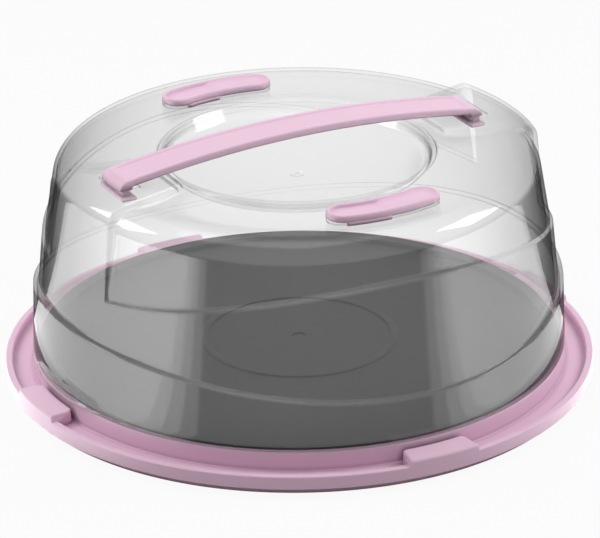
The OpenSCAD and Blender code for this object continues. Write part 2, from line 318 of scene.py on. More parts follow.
def add_world():
    """A plain room: white to the eye, and ROOM_LIGHT as light on the object."""
    world = bpy.data.worlds.new("room")
    world.use_nodes = True
    tree = world.node_tree
    tree.nodes.clear()
    seen = add_node(tree, "ShaderNodeBackground", {"Color": (1, 1, 1, 1), "Strength": 1.0})
    light = add_node(tree, "ShaderNodeBackground", {"Color": (1, 1, 1, 1), "Strength": ROOM_LIGHT})
    mix = add_node(tree, "ShaderNodeMixShader")
    out = add_node(tree, "ShaderNodeOutputWorld")
    link_all(tree, (seen_by_eye(tree), mix.inputs[0]), (light.outputs[0], mix.inputs[1]),
             (seen.outputs[0], mix.inputs[2]), (mix.outputs[0], out.inputs["Surface"]))
    bpy.context.scene.world = world


add_floor()
add_world()

# %% [markdown]
# ## Lamps, and cards for the reflections
#
# A clear round wall shows what stands round it: here a dark middle between two long pale
# zones with upright edges. A studio makes them with black and white cards. The dome's wall
# mirrors the floor before it, so the cards lie flat there and only mirrors see them. They
# light nothing and the camera never sees them. Each pale card is four sheets, each a little
# smaller and brighter than the one below, so that its edge is soft. Three soft lamps, above
# and on both sides, light the plastics.

# %% Lamps and cards
AHEAD = Vector((LOOK.x, LOOK.y, 0)).normalized()
RIGHT = Vector((AHEAD.y, -AHEAD.x, 0))
DARK_CARD, LEFT_CARD, RIGHT_CARD = 0.13, 4.2, 3.7
CARD_HALF, CARD_LAYER, CARD_SHEETS, CARD_TURN = 2.5, 0.0004, 4, 0.045


def beside(right, ahead, up):
    """A place from the camera's point of view: to its right, away from it, and up."""
    return RIGHT * right + AHEAD * ahead + Vector((0, 0, up))


def add_card(name, corners, height, glow):
    """A flat card that only mirrors see, so it changes reflections and no other light.
    Its corners are (right, ahead) places seen from the camera, in metres."""
    mesh = bpy.data.meshes.new(name)
    points = [tuple(beside(right, ahead, height)) for right, ahead in corners]
    mesh.from_pydata(points, [], [tuple(range(len(points)))])
    card = bpy.data.objects.new(name, mesh)
    bpy.context.scene.collection.objects.link(card)
    material, tree = new_material(name)
    shine = add_node(tree, "ShaderNodeEmission", {"Strength": glow})
    out = add_node(tree, "ShaderNodeOutputMaterial")
    tree.links.new(shine.outputs[0], out.inputs["Surface"])
    mesh.materials.append(material)
    for kind in ("camera", "diffuse", "transmission", "volume_scatter", "shadow"):
        setattr(card, "visible_" + kind, False)
    return card


def add_panel(name, place, aim, size, watts):
    """A soft rectangular lamp at place that faces aim; size and place in metres."""
    data = bpy.data.lights.new(name, "AREA")
    data.shape = "RECTANGLE"
    data.size, data.size_y = size
    data.energy = watts
    lamp = bpy.data.objects.new(name, data)
    lamp.location = place
    lamp.rotation_euler = (Vector(aim) - Vector(place)).to_track_quat("-Z", "Y").to_euler()
    bpy.context.scene.collection.objects.link(lamp)
    return lamp


def add_pale_cards(step):
    """The step-th sheet of both pale cards: its near corners turn in by CARD_TURN a step."""
    turn, share, height = CARD_TURN * step, step / CARD_SHEETS, CARD_LAYER * (step + 1)
    near_left = (-0.085 - turn / 3, -0.20 + turn / 4)
    far_left = (-1.25 - turn * 2, -1.64 + turn)
    near_right = (0.105 + turn / 3, -0.175 + turn / 4)
    far_right = (1.45 + turn, -1.15 + turn * 2)
    add_card("left_card", [near_left, far_left, (-2.2, -1.2), (-2.2, 1.0), (-0.16, 0.06)],
             height, LEFT_CARD * share)
    add_card("right_card", [near_right, far_right, (2.2, -0.6), (2.2, 1.0), (0.16, 0.05)],
             height, RIGHT_CARD * share)


add_panel("top_panel", beside(-0.2, 0.1, 1.9), (0, 0, 0.1), (1.4, 1.4), 8)
add_panel("left_panel", beside(-1.0, 0.1, 0.8), (0, 0, 0.05), (0.5, 0.5), 5.5)
add_panel("right_panel", beside(1.0, 0.1, 0.8), (0, 0, 0.05), (0.5, 0.5), 6.5)
add_card("dark_card", [(-CARD_HALF, -CARD_HALF), (CARD_HALF, -CARD_HALF),
                       (CARD_HALF, CARD_HALF), (-CARD_HALF, CARD_HALF)], CARD_LAYER, DARK_CARD)
for step in range(1, CARD_SHEETS + 1):
    add_pale_cards(step)

# %% [markdown]
# ## Plastics
#
# The pink is a satin moulded plastic: a hair of cloudiness in its colour, and a very fine
# grain in its gloss. Its creases are painted a little darker: painted shade from ambient
# occlusion, as creases look on a small moulding in soft light. The cake plate is the same
# finish in a darker matt grey. The clear plastic could be real glass with refraction, but a
# thin wall hardly bends what is behind it, and glass makes noise. So it is a see-through
# shader with a tint that deepens where an upright wall is seen at a glancing angle, which is
# painted shade in place of the light that refraction bends away there, and a mirror whose
# share grows there.

# %% Materials
PINK = (0.81, 0.55, 0.70)
GREY = (0.075, 0.076, 0.075)
# The clear plastic's edge colour is painted shade, for upright walls seen at a glancing angle.
CLEAR_HEAD_ON, CLEAR_EDGE_SHADE = (0.992, 0.993, 0.993), (0.36, 0.36, 0.36)
MIRROR_HEAD_ON, MIRROR_GLANCING, MIRROR_ROUGH = 0.04, 0.4, 0.08
# Painted shade in the creases of the moulded plastics: ambient occlusion darkens their colour.
CREASE_SHADE_M, CREASE_SHADE_TONE = 0.004, 0.55


def add_multiply(tree):
    """A mix node that multiplies colour A by colour B."""
    node = add_node(tree, "ShaderNodeMix", data_type="RGBA", blend_type="MULTIPLY")
    node.inputs["Factor"].default_value = 1.0
    return node


def moulded_plastic(name, colour, roughness, grain_size, grain_depth, cloud=0.03):
    """Satin plastic. Its colour is the given one times slow noise near 1 times painted crease
    shade from ambient occlusion, and a fine grain moves its roughness and its surface."""
    material, tree = new_material(name)
    place = add_node(tree, "ShaderNodeTexCoord")
    slow = add_node(tree, "ShaderNodeTexNoise", {"Scale": 14.0, "Detail": 3.0})
    fine = add_node(tree, "ShaderNodeTexNoise", {"Scale": 1 / grain_size, "Detail": 2.0})
    tint = add_node(tree, "ShaderNodeMapRange",
                    {"To Min": 1 - cloud, "To Max": 1 + cloud})
    scaled = add_multiply(tree)
    scaled.inputs["A"].default_value = (*colour, 1)
    # Painted shade: ambient occlusion over a few millimetres darkens the colour in creases and
    # grooves.
    crease_shade = add_node(tree, "ShaderNodeAmbientOcclusion", {"Distance": CREASE_SHADE_M})
    crease_shade_level = add_node(tree, "ShaderNodeMapRange", {"From Min": 0.35, "From Max": 0.95,
                                                        "To Min": CREASE_SHADE_TONE, "To Max": 1.0})
    shaded = add_multiply(tree)
    rough = add_node(tree, "ShaderNodeMapRange",
                     {"To Min": roughness - 0.05, "To Max": roughness + 0.05})
    bump = add_node(tree, "ShaderNodeBump", {"Strength": 0.25, "Distance": grain_depth})
    shader = add_node(tree, "ShaderNodeBsdfPrincipled", {"IOR": 1.5, "Specular IOR Level": 0.3})
    out = add_node(tree, "ShaderNodeOutputMaterial")
    link_all(tree, (place.outputs["Object"], slow.inputs["Vector"]),
             (place.outputs["Object"], fine.inputs["Vector"]),
             (slow.outputs["Fac"], tint.inputs["Value"]), (tint.outputs[0], scaled.inputs["B"]),
             (crease_shade.outputs["AO"], crease_shade_level.inputs["Value"]),
             (scaled.outputs["Result"], shaded.inputs["A"]),
             (crease_shade_level.outputs[0], shaded.inputs["B"]),
             (shaded.outputs["Result"], shader.inputs["Base Color"]),
             (fine.outputs["Fac"], rough.inputs["Value"]),
             (rough.outputs[0], shader.inputs["Roughness"]),
             (fine.outputs["Fac"], bump.inputs["Height"]),
             (bump.outputs[0], shader.inputs["Normal"]),
             (shader.outputs[0], out.inputs["Surface"]))
    return material


def clear_plastic(name):
    """Thin clear plastic. The share of mirror rises from MIRROR_HEAD_ON to MIRROR_GLANCING
    with (1 - cosine) ** 5, from the Facing output, which is the same on the inner and the
    outer side of a wall; Fresnel isn't, and would turn the inner skins into mirrors. The
    rest goes straight through and loses a little light, as the plastic does, and much more
    of it, with (1 - cosine) ** 2, where an upright wall is seen at a glancing angle: that
    darkening is painted shade in place of the light that refraction bends away there."""
    material, tree = new_material(name)
    place = add_node(tree, "ShaderNodeTexCoord")
    facing = add_node(tree, "ShaderNodeLayerWeight", {"Blend": 0.5})
    fifth = add_node(tree, "ShaderNodeMath", {1: 5.0}, operation="POWER")
    share = add_node(tree, "ShaderNodeMapRange", {"To Min": MIRROR_HEAD_ON,
                                                  "To Max": MIRROR_GLANCING})
    deep = add_node(tree, "ShaderNodeMath", {1: 2.0}, operation="POWER")
    split = add_node(tree, "ShaderNodeSeparateXYZ")
    level = add_node(tree, "ShaderNodeMath", operation="ABSOLUTE")
    # Painted shade: upright walls seen at a glancing angle are tinted much darker, in place of
    # refraction.
    wall = add_node(tree, "ShaderNodeMapRange", {"From Min": 0.25, "From Max": 0.5,
                                                 "To Min": 1.0, "To Max": 0.08})
    edge_shade = add_node(tree, "ShaderNodeMath", operation="MULTIPLY")
    tint = add_node(tree, "ShaderNodeMix", data_type="RGBA")
    tint.inputs["A"].default_value = (*CLEAR_HEAD_ON, 1)
    tint.inputs["B"].default_value = (*CLEAR_EDGE_SHADE, 1)
    flow = add_node(tree, "ShaderNodeTexNoise", {"Scale": 18.0, "Detail": 1.0})
    wave = add_node(tree, "ShaderNodeBump", {"Strength": 0.15, "Distance": 0.0002})
    through = add_node(tree, "ShaderNodeBsdfTransparent")
    mirror = add_node(tree, "ShaderNodeBsdfGlossy", {"Roughness": MIRROR_ROUGH})
    mix = add_node(tree, "ShaderNodeMixShader")
    out = add_node(tree, "ShaderNodeOutputMaterial")
    link_all(tree, (place.outputs["Object"], flow.inputs["Vector"]),
             (flow.outputs["Fac"], wave.inputs["Height"]),
             (wave.outputs[0], mirror.inputs["Normal"]),
             (facing.outputs["Facing"], fifth.inputs[0]), (fifth.outputs[0], share.inputs["Value"]),
             (facing.outputs["Facing"], deep.inputs[0]), (place.outputs["Normal"], split.inputs[0]),
             (split.outputs["Z"], level.inputs[0]), (level.outputs[0], wall.inputs["Value"]),
             (deep.outputs[0], edge_shade.inputs[0]), (wall.outputs[0], edge_shade.inputs[1]),
             (edge_shade.outputs[0], tint.inputs["Factor"]),
             (tint.outputs["Result"], through.inputs["Color"]),
             (share.outputs[0], mix.inputs[0]), (through.outputs[0], mix.inputs[1]),
             (mirror.outputs[0], mix.inputs[2]), (mix.outputs[0], out.inputs["Surface"]))
    return material


pink = moulded_plastic("pink_plastic", PINK, 0.38, 0.002, 0.000006)
grey = moulded_plastic("grey_plastic", GREY, 0.5, 0.003, 0.000004)
clear = clear_plastic("clear_plastic")

# %% [markdown]
# ## Tray
#
# The tray is one moulding: a foot ring, a stepped rim, a channel, a ridge that carries the
# dome, and four tabs that bridge the channel. Its section is the same all round except at
# the tabs, which could be blocks joined to the rim with a Boolean, but then their roundings
# would not run into the rim's. So the surface is a section carried round the axis, and
# over a few tenths of a millimetre it turns from the plain section into the tab's section,
# which leaves the tab's end as an upright wall. The tab's inner corners are round in plan.

# %% Tray
TAB_CORNER, TAB_EDGE, RIM_EDGE = 4.0, 1.6, 0.9


def tray_section(reach, top):
    """The tray's section with its rim's flat top starting at radius reach and lying at top.
    The plain rim has reach RIM_IN and top RIM_H; a tab has TAB_IN and TAB_H."""
    under = CHANNEL_H - TRAY_WALL
    foot_r = TRAY_R - FOOT_INSET
    edge = RIM_EDGE + (TAB_EDGE - RIM_EDGE) * (top - RIM_H) / (TAB_H - RIM_H)
    corners = [
        (0, FLOOR_H), (RIDGE_IN - 1.5, FLOOR_H, 1.5), (RIDGE_IN, RIDGE_H, 1.0),
        (RIDGE_R, RIDGE_H, 1.0), (RIDGE_R + 0.4, CHANNEL_H, 0.8),
        (reach - 0.6, CHANNEL_H - 0.2, 0.5),
        (reach, top, RIM_EDGE), (TRAY_R, top, edge), (TRAY_R, STEP_H, 0.7),
        (foot_r + 0.4, STEP_H - 0.9, 0.6), (foot_r, 0, 0.5),
        (foot_r - TRAY_WALL, 0, 0.5), (foot_r - TRAY_WALL, under - 0.4, 0.8),
        (RIDGE_R - TRAY_WALL + 0.4, under, 0.8), (RIDGE_R - TRAY_WALL, RIDGE_H - TRAY_WALL, 0.6),
        (RIDGE_IN + TRAY_WALL, RIDGE_H - TRAY_WALL, 0.6),
        (RIDGE_IN + TRAY_WALL - 1.5, FLOOR_H - TRAY_WALL, 0.6), (0, FLOOR_H - TRAY_WALL)]
    return rounded(corners, steps=5)


def make_tray():
    """The section at each azimuth: plain between the tabs, and rising to the tab's near one.
    depth says how far inside a tab's end an azimuth lies, along the rim. In there the
    section's reach and top follow quarter circles of radius TAB_CORNER and TAB_EDGE."""
    tab_end = math.asin(TAB_HALF / TRAY_R)
    from_end = np.array([-1.5, -0.3, 0, 0.05, 0.2, 0.45, 0.8, 1.3, 1.9, 2.6, 3.3, TAB_CORNER, 6.0])
    inside = np.linspace(8.0, TAB_HALF, 6)
    plain = np.pi / 4 - tab_end
    half = np.concatenate([np.linspace(0, 1, 24)[:-1] * (plain - 1.6 / TRAY_R),
                           plain + np.concatenate([from_end, inside]) / TRAY_R])
    half = half[half < np.pi / 4 - 1e-6]
    quarter = np.concatenate([half, [np.pi / 4], np.pi / 2 - half[:0:-1]])
    angle = np.concatenate([q * np.pi / 2 + np.pi / 4 + quarter for q in range(4)])
    depth = (tab_end - np.abs((angle + np.pi / 4) % (np.pi / 2) - np.pi / 4)) * TRAY_R
    rows = []
    for s in depth:
        if s < -1e-9:
            rows.append(tray_section(RIM_IN, RIM_H))
            continue
        in_corner = TAB_CORNER - math.sqrt(max(TAB_CORNER**2 - max(TAB_CORNER - s, 0) ** 2, 0))
        in_edge = TAB_EDGE - math.sqrt(max(TAB_EDGE**2 - max(TAB_EDGE - s, 0) ** 2, 0))
        rows.append(tray_section(TAB_IN + in_corner, TAB_H - in_edge))
    section = np.array(rows)
    r, z = section[..., 0], section[..., 1]
    points = np.stack([r * np.cos(angle)[:, None], r * np.sin(angle)[:, None], z], -1)
    return grid_mesh("tray", points.transpose(1, 0, 2))


tray = make_tray()
finish_piece(tray, "tray", pink, "pink_plastic", "base_tray")

# %% [markdown]
# ## Cake plate
#
# The plate lies in the ridge and its flange reaches out over it, under the dome's edge. A
# flat ring that centres a cake is raised on its floor, and a small dimple is sunk in it. It
# is round all through, so one section is enough.

# %% Cake plate
RING_R, RING_HALF, RING_H = 56.5, 2.5, 0.7


def make_plate():
    """The plate's section from the axis along its top, over the flange and back below."""
    low, high, edge = PLATE_LOW[2], PLATE_HIGH[2], PLATE_HIGH[0]
    floor, well = RIDGE_H - 0.4, RIDGE_IN - 1.0
    section = rounded([
        (0, floor - 0.6), (4.0, floor - 0.6, 0.3), (4.6, floor, 0.3),
        (RING_R - RING_HALF, floor, 0.4), (RING_R - RING_HALF + 1, floor + RING_H, 0.4),
        (RING_R + RING_HALF - 1, floor + RING_H, 0.4), (RING_R + RING_HALF, floor, 0.4),
        (well - 4, floor, 1.0), (well - 2, high, 0.8), (edge, high, 0.4),
        (edge, DOME_FOOT, 0.4), (well, DOME_FOOT, 0.8), (well - 2, low, 0.8), (0, low)], 4)
    return revolve("plate", section, 180)


plate = make_plate()
finish_piece(plate, "plate", grey, "grey_plastic", "cake_plate")

# %% [markdown]
# ## Dome
#
# The dome is a thin shell: an outer skin and an inner skin, joined round the foot. It could
# be a revolved shell with the seats and panels cut by Booleans, but the moulding's soft
# steps would then need a bevel on every cut. Both skins come from one function with the
# wall as its only argument. Two round bodies are mixed: the panels' body, which leans in
# and carries the top ring, and the bands' body, which is straighter, wider and higher and
# carries the two strap seats. A third, the collar, stands round the foot. A number between
# 0 and 1 says at each point which body is on top, and it changes over about a millimetre.
# The grid's rows follow the collar's edge and the panels' lower edge, and its columns
# follow the seats' edges, so every step comes out crisp.

# %% Dome: the lines that its steps follow
def arch_radius(half, rise):
    """Radius of an arc that rises by rise over half its chord: (half² + rise²) / 2 rise."""
    return (half * half + rise * rise) / (2 * rise)


def collar_edge(y):
    """Height of the collar's top edge at distance y from the strap's plane: an arc whose
    top, COLLAR_HIGH, is over the seats."""
    arch = arch_radius(DOME_R, COLLAR_HIGH - COLLAR_LOW)
    return COLLAR_HIGH - arch + np.sqrt(arch**2 - y * y)


def panel_edge(y):
    """Height of the panels' lower edge at distance y from the strap's plane: an arc whose
    lowest point, PANEL_LOW, would be under the seats."""
    reach = PANEL_R - TAPER * (PANEL_HIGH - DOME_FOOT)
    arch = arch_radius(reach, PANEL_HIGH - PANEL_LOW)
    return PANEL_LOW + arch - np.sqrt(arch**2 - y * y)


def seat_azimuth(r):
    """Azimuth at which a seat's side crosses radius r. The side is a straight line that
    leaves the strap's line by SEAT_FLARE, so the azimuth is the flare's angle plus the arc
    sine of the line's distance from the axis over r."""
    corner = math.hypot(SEAT_START, SEAT_HALF)
    slope = math.sqrt(1 + SEAT_FLARE**2)
    away = (SEAT_HALF - SEAT_FLARE * SEAT_START) / (np.maximum(r, corner) * slope)
    return math.atan(SEAT_FLARE) + np.arcsin(away)


EDGE_STEPS = np.array([-1.1, -0.6, -0.3, 0, 0.3, 0.6, 1.1])
COLUMN_STEPS = np.array([-1.7, -0.9, -0.6, -0.3, 0, 0.3, 0.6, 0.9, 1.7])
SEAT_COLUMNS, PANEL_COLUMNS = 12, 30


def column_azimuths(r, shrink):
    """Azimuths of all columns at radius r[row]: a quarter turn from the strap's line over
    the seat, its side and the panel, then mirrored to a half turn and turned to a whole
    one. The columns lie close together along the seats' sides. shrink moves those sides."""
    edge = seat_azimuth(r)[:, None] - shrink / r[:, None]
    first, last = edge + COLUMN_STEPS[0] / r[:, None], edge + COLUMN_STEPS[-1] / r[:, None]
    seat = np.linspace(0, 1, SEAT_COLUMNS, endpoint=False) * first
    sides = edge + COLUMN_STEPS / r[:, None]
    panel = last + np.linspace(0, 1, PANEL_COLUMNS + 1)[1:] * (np.pi / 2 - last)
    quarter = np.concatenate([seat, sides, panel], axis=1)
    half = np.concatenate([quarter[:, :-1], np.pi - quarter[:, :0:-1]], axis=1)
    return np.concatenate([half, np.pi + half], axis=1)


# %% Dome: the two round bodies
WALL_ROWS, ARC_ROWS, TOP_ROWS = 9, 12, 20


def spread(start, end, count):
    """Rows between two rows, without the first and with the last."""
    t = (np.arange(count)[:, None] + 1) / count
    return start * (1 - t) + end * t


def body_rows(foot_r, lean, rounding, height, wall, low_rows, far_in):
    """Radii and heights of one body's rows, from the foot up to radius far_in: the wall, a
    quarter round of radius rounding, and the flat top. The wall's radius falls by TAPER for
    each millimetre up to LEAN_H, and by lean above it. The inner skin has the same bends,
    and a rounding that is smaller by wall. low_rows are the heights of the wall's rows up
    to the panels' edge."""
    turn = math.atan(lean)
    bend = foot_r - TAPER * (LEAN_H - DOME_FOOT)
    edge_z = height - rounding
    touch_z = edge_z + rounding * math.sin(turn)
    edge_r = bend - lean * (touch_z - LEAN_H) - rounding * math.cos(turn)
    start_z = edge_z + (rounding - wall) * math.sin(turn) + 0 * low_rows[-1:]
    wall_z = np.concatenate([low_rows, spread(low_rows[-1:], start_z, WALL_ROWS)])
    slope = np.where(wall_z > LEAN_H, lean, TAPER)
    wall_r = bend - wall - slope * (wall_z - LEAN_H)
    angle = np.linspace(turn, np.pi / 2, ARC_ROWS + 1)[1:, None] + 0 * low_rows[-1:]
    arc_r = edge_r + (rounding - wall) * np.cos(angle)
    arc_z = edge_z + (rounding - wall) * np.sin(angle)
    top_r = spread(arc_r[-1:], far_in, TOP_ROWS)
    top_z = height - wall + 0 * top_r
    return np.concatenate([wall_r, arc_r, top_r]), np.concatenate([wall_z, arc_z, top_z])


def ring_height(r):
    """Height of the top ring at radius r, with the shallow trough that the pads lie in: a
    parabola of depth TROUGH_DEPTH and half width TROUGH_HALF about PAD_R."""
    return DOME_H - TROUGH_DEPTH * np.clip(1 - ((r - PAD_R) / TROUGH_HALF) ** 2, 0, 1)


def recess_section(wall):
    """The recess from just outside its edge to the axis: edge, wall, dished floor, dimple.
    The floor is a parabola. The line is moved by wall along its own normal, which is its
    direction turned by a quarter. Only the outer skin has the dimple."""
    floor = DOME_H - RECESS_DEPTH
    inner = RECESS_R - RECESS_LEAN
    r = np.array([64, 54, 44, 34, 24, 14, 8])
    dish = np.stack([r, floor - RECESS_DISH * (1 - (r / inner) ** 2)], 1)
    middle = floor - RECESS_DISH
    gate_r = np.array([GATE_R + 1.2, GATE_R + 0.3, GATE_R, GATE_R - 0.2, GATE_R - 0.7,
                       1.4, 1.2, 1.1, 0.01])
    sunk = np.array([-0.02, 0, 0.15, 0.85, 1, 1, 0.9, 0.3, 0.2]) * GATE_DEPTH
    if wall > 0:
        gate_r, sunk = np.linspace(GATE_R + 1.2, 0.01, len(sunk)), np.full(len(sunk), -0.02)
    gate = np.stack([gate_r, middle - sunk], 1)
    edge = rounded([(RECESS_R + 4, DOME_H), (RECESS_R, DOME_H, 2.6), (inner, floor, 3.0),
                    tuple(dish[0])], 8)
    line = np.concatenate([edge[:-1], dish, gate])
    along = np.gradient(line, axis=0)
    out = np.stack([along[:, 1], -along[:, 0]], 1) / np.linalg.norm(along, axis=1)[:, None]
    return line - wall * out * np.sign(out[0, 1])


# %% Dome: one skin
WALL_MIDDLE_R = 152.0
STEP_WIDTH, FOOT_ROUND = 1.2, 0.45


def dome_skin(wall):
    """The dome's surface drawn in by wall, as points[row, column, xyz] from foot to axis.
    Each point is the panels' body plus band times the way to the bands' body, pushed out to
    the collar low down. band is 1 where a seat or the wall under the panels is on top:
    1 - (1 - seat)(1 - below). The strap's dips are spheres sunk in the seats."""
    # The steps' lines, at the columns' places on a wall of about the middle radius.
    guess = column_azimuths(np.full(1, WALL_MIDDLE_R), wall)
    y = WALL_MIDDLE_R * np.abs(np.sin(guess))
    collar, panel = collar_edge(y) - wall, panel_edge(y) - wall
    foot = DOME_FOOT + np.array([0.5, 1.0, 1.6, 2.0, 2.6, 3.4])[:, None] + 0 * y
    low_rows = np.concatenate([
        foot, spread(foot[-1:], collar + EDGE_STEPS[0], 8), collar + EDGE_STEPS[1:, None],
        spread(collar + EDGE_STEPS[-1], panel + EDGE_STEPS[0], 12), panel + EDGE_STEPS[1:, None]])
    # The seats' inner end is a straight line; between the seats the rows follow a circle.
    corner = math.hypot(SEAT_START, SEAT_HALF)
    seat_in = np.where(np.abs(np.sin(guess)) < SEAT_HALF / corner,
                       SEAT_START / np.abs(np.cos(guess)), corner) + wall
    far_in = seat_in - EDGE_STEPS[0]
    panel_r, panel_z = body_rows(PANEL_R, PANEL_LEAN, PANEL_ROUND, DOME_H, wall, low_rows, far_in)
    band_r, band_z = body_rows(BAND_R, TAPER, BAND_ROUND, SEAT_H, wall, low_rows, far_in)
    near = seat_in - EDGE_STEPS[1:, None]
    panel_r, band_r = np.concatenate([panel_r, near]), np.concatenate([band_r, near])
    top = len(low_rows) + WALL_ROWS + ARC_ROWS
    panel_z = np.concatenate([panel_z, 0 * near])
    panel_z[top:] = ring_height(panel_r[top:]) - wall
    band_z = np.concatenate([band_z, SEAT_H - wall + 0 * near])
    # How much each body shows, and the mix.
    mean_r = (panel_r + band_r) / 2
    azimuth = column_azimuths(mean_r.mean(axis=1), wall)
    side = np.abs((azimuth + np.pi / 2) % np.pi - np.pi / 2)
    depth = mean_r * (seat_azimuth(mean_r) - side) - wall
    inside = mean_r * np.cos(side) - SEAT_START - wall
    seat = smooth(depth, STEP_WIDTH) * smooth(inside, STEP_WIDTH)
    below = smooth(panel - (panel_z + band_z) / 2, STEP_WIDTH)
    band = 1 - (1 - seat) * (1 - below)
    r = panel_r + (band_r - panel_r) * band
    z = panel_z + (band_z - panel_z) * band
    collar_r = DOME_R - wall - COLLAR_DRAFT * (z - DOME_FOOT) / (COLLAR_HIGH + 1 - DOME_FOOT)
    r = r + (np.maximum(collar_r, r) - r) * smooth(collar - z, STEP_WIDTH)
    # The two grip lips stand out at the foot of the outer skin, at the strap's ends.
    if wall == 0:
        along = np.clip(1 - (side / (1.15 * LIP_HALF)) ** 2, 0, 1) ** 0.7
        up = np.interp(z - DOME_FOOT, [0, 0.5, 1.6, 2.0, 3.0], [0.9, 1, 1, 0.8, 0])
        r = r + LIP_OUT * along * up
    # The recess continues the grid inwards, and two rows round off the foot.
    inner = recess_section(wall)
    inner = inner[inner[:, 0] < near[-1].min() - 0.3]
    recess_r = inner[:, :1] + 0 * y
    recess_z = inner[:, 1:] + 0 * y
    r, z = np.concatenate([r, recess_r]), np.concatenate([z, recess_z])
    azimuth = np.concatenate([azimuth, np.repeat(azimuth[-1:], len(inner), axis=0)])
    edge = FOOT_ROUND if wall == 0 else -FOOT_ROUND
    r = np.concatenate([r[:1] - edge, r[:1] - 0.3 * edge, r])
    z = np.concatenate([0 * z[:1] + DOME_FOOT, 0 * z[:1] + DOME_FOOT + 0.14, z])
    azimuth = np.concatenate([azimuth[:1], azimuth[:1], azimuth])
    points = np.stack([r * np.cos(azimuth), r * np.sin(azimuth), z], -1)
    # The dips under the strap's ends: each seat is lowered to a sphere of radius ball.
    ball = arch_radius(DIP_R, DIP_DEPTH)
    away = np.hypot(np.abs(points[..., 0]) - SLOT_X, points[..., 1])
    dip = SEAT_H - DIP_DEPTH + ball - np.sqrt((ball + wall) ** 2 - np.minimum(away, 60) ** 2)
    on_seat = (points[..., 2] > DOME_H) | ((away < DIP_R + 3) & (points[..., 2] > DOME_H - wall))
    lowered = np.minimum(points[..., 2], dip)
    points[..., 2] = np.where(on_seat & (away < DIP_R + 4), lowered, points[..., 2])
    points[-1, :, :2] = 0  # the last row closes on the axis
    return points


def cut(piece, cutter):
    """Takes the cutter's volume away from the piece and removes the cutter."""
    change = piece.modifiers.new("cut", "BOOLEAN")
    change.operation, change.solver, change.object = "DIFFERENCE", "EXACT", cutter
    view = bpy.context.evaluated_depsgraph_get()
    mesh = bpy.data.meshes.new_from_object(piece.evaluated_get(view))
    piece.modifiers.clear()
    piece.data = mesh
    bpy.data.objects.remove(cutter, do_unlink=True)


QUADRANTS = ((1, 1), (-1, 1), (-1, -1), (1, -1))


def rounded_plan(half_x, half_y, radius, steps=5):
    """Outline of a rectangle with round corners, anticlockwise."""
    out = []
    for k, (sx, sy) in enumerate(QUADRANTS):
        turn = np.linspace(k, k + 1, steps + 1) * np.pi / 2
        out.append(np.stack([sx * (half_x - radius) + radius * np.cos(turn),
                             sy * (half_y - radius) + radius * np.sin(turn)], 1))
    return np.concatenate(out)


def soft_block(name, centre, half, radius, edge=0.4):
    """A block with round upright corners and softened edges, in millimetres."""
    rows = []
    for inset, z in ((None, -half[2]), (edge, -half[2]), (0, -half[2] + edge),
                     (0, half[2] - edge), (edge, half[2]), (None, half[2])):
        if inset is None:
            plan = rounded_plan(half[0] - edge, half[1] - edge, radius) * 0
        else:
            plan = rounded_plan(half[0] - inset, half[1] - inset, max(radius - inset, 0.1))
        rows.append(np.column_stack([plan, np.full(len(plan), z)]))
    return grid_mesh(name, np.array(rows) + np.array(centre))


def join(pieces):
    """Puts the meshes of all pieces into the first one."""
    b = bmesh.new()
    for piece in pieces:
        b.from_mesh(piece.data)
    b.to_mesh(pieces[0].data)
    b.free()
    for piece in pieces[1:]:
        bpy.data.objects.remove(piece, do_unlink=True)
    return pieces[0]


def make_dome():
    """Outer skin from axis to foot and inner skin back, then the two slots cut through."""
    outer, inner = dome_skin(0.0), dome_skin(DOME_WALL)
    dome = grid_mesh("dome_shell", np.concatenate([outer[::-1], inner]))
    for side in (-1, 1):
        half = (SLOT_LEN / 2, STRAP_W / 2 + SLOT_GAP, 12)
        cut(dome, soft_block("slot", (side * SLOT_X, 0, SEAT_H), half, 1.5))
    return dome


dome = make_dome()

# %% [markdown]
# ## Pads and the clear bosses under them
#
# Turned over, the dome stands on its strap and these two pads. A pad's plan is a bent bar
# with round ends. A thick curve could give it, but not its hollow with a deep and a shallow
# half. `kidney` gives the outline for any half width with the same number of points, so
# outlines of several widths, each at its height, stack up into a grid: up the side, over
# the rim and down into the hollow.

# %% Pads
def kidney(half, arc=26, cap=9):
    """Outline of the bent bar on the -Y side, half wide, as (x, y) points: an arc at
    PAD_R + half, a half circle, an arc at PAD_R - half and the other half circle."""
    a = np.linspace(-PAD_ANGLE, PAD_ANGLE, arc)
    k = np.linspace(0, np.pi, cap + 2)[1:-1]
    outer = np.stack([(PAD_R + half) * np.sin(a), -(PAD_R + half) * np.cos(a)], 1)
    inner = np.stack([(PAD_R - half) * np.sin(a), -(PAD_R - half) * np.cos(a)], 1)[::-1]
    ends = []
    for side in (1, -1):
        out = np.array([side * math.sin(PAD_ANGLE), -math.cos(PAD_ANGLE)])
        on = np.array([side * math.cos(PAD_ANGLE), math.sin(PAD_ANGLE)])
        turn = k if side == 1 else k[::-1]
        ends.append(PAD_R * out + half * (np.cos(turn)[:, None] * out + np.sin(turn)[:, None] * on))
    return np.concatenate([outer, ends[0], inner, ends[1]])


BOSS_TOP = PAD_HIGH[2] - PAD_H


def kidney_stack(name, rows, mirror):
    """A grid from rows (half width, height); a height may also be a function of x and y."""
    points = []
    for half, height in rows:
        plan = kidney(half)
        z = height(plan) if callable(height) else np.full(len(plan), height)
        points.append(np.column_stack([plan[:, 0], plan[:, 1] * mirror, z]))
    return grid_mesh(name, np.array(points))


